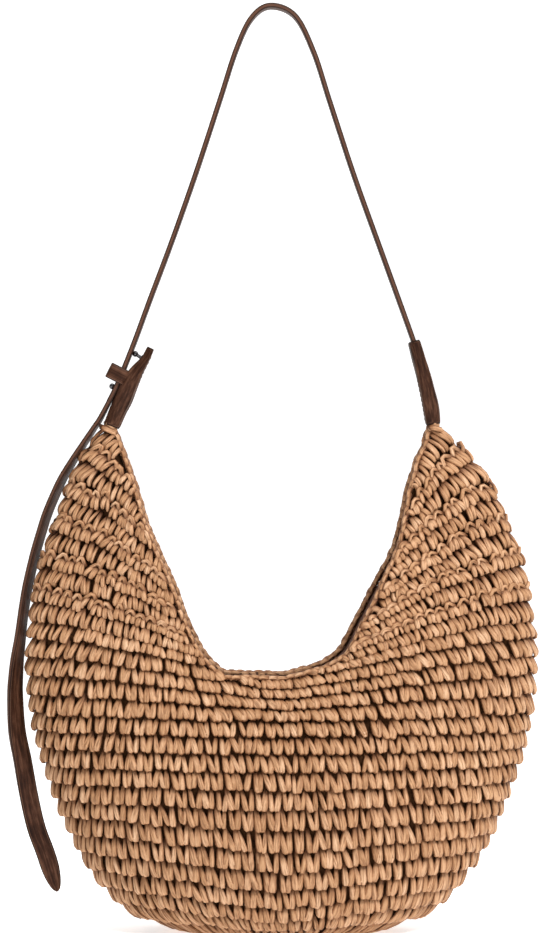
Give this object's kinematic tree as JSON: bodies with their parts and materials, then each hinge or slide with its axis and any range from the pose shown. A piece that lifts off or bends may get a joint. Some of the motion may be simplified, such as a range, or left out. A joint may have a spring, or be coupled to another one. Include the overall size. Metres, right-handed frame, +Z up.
{
  "type": "hobo bag",
  "caption": "Crescent hobo shoulder bag in crocheted straw with leather tabs, a buttoned adjustable strap, its hanging spare end and an open lined mouth.",
  "frame": {"origin": "centre of the flat base, on its underside", "axes": "+Z up, from the base to the top of the strap; +X to the right seen from the front, from the studded tab to the sewn tab; -Y out of the front"},
  "size_m": [0.4215, 0.123, 0.7403],
  "materials": {
    "straw": "crocheted paper straw, matt with a slight ribbon sheen",
    "lining": "plain woven cotton",
    "leather": "dark brown, fine grain, painted edges",
    "thread": "waxed thread",
    "gunmetal": "dark plated, polished"
  },
  "bodies": {
    "strap": {"shoulder_strap": "leather", "left_tab": "leather", "right_tab": "leather", "left_tab_thread": "thread", "right_tab_thread": "thread"},
    "bag": {"straw_body": "straw", "front_rim_edging": "straw", "back_rim_edging": "straw", "lining": "lining", "slip_pocket": "lining", "snap_socket": "gunmetal", "snap_boss": "gunmetal", "snap_socket_washer": "gunmetal", "snap_boss_washer": "gunmetal"},
    "tail": {"strap_tail": "leather"},
    "keeper": {"keeper_loop": "leather"},
    "upper_button": {"upper_stud": "gunmetal", "upper_stud_screw": "gunmetal"},
    "lower_button": {"lower_stud": "gunmetal", "lower_stud_screw": "gunmetal"}
  },
  "joints": [
    {"name": "bag_swing", "type": "hinge", "parent": "strap", "child": "bag", "pos_m": [0, 0, 0.4], "axis": [1, 0, 0], "range_deg": [-90, 90]},
    {"name": "tail_swing", "type": "hinge", "parent": "strap", "child": "tail", "pos_m": [-0.1374, 0, 0.4211], "axis": [0, 1, 0], "range_deg": [0, 75]},
    {"name": "keeper_slide", "type": "slide", "parent": "strap", "child": "keeper", "axis": [0.3791, 0, 0.9253], "range_m": [-0.0015, 0.01]},
    {"name": "upper_button_turn", "type": "hinge", "parent": "strap", "child": "upper_button", "pos_m": [-0.11062, 0, 0.45753], "axis": [-0.8384, 0, 0.545], "continuous": true},
    {"name": "lower_button_turn", "type": "hinge", "parent": "strap", "child": "lower_button", "pos_m": [-0.12869, 0, 0.43241], "axis": [-0.9126, 0, 0.4089], "continuous": true}
  ]
}
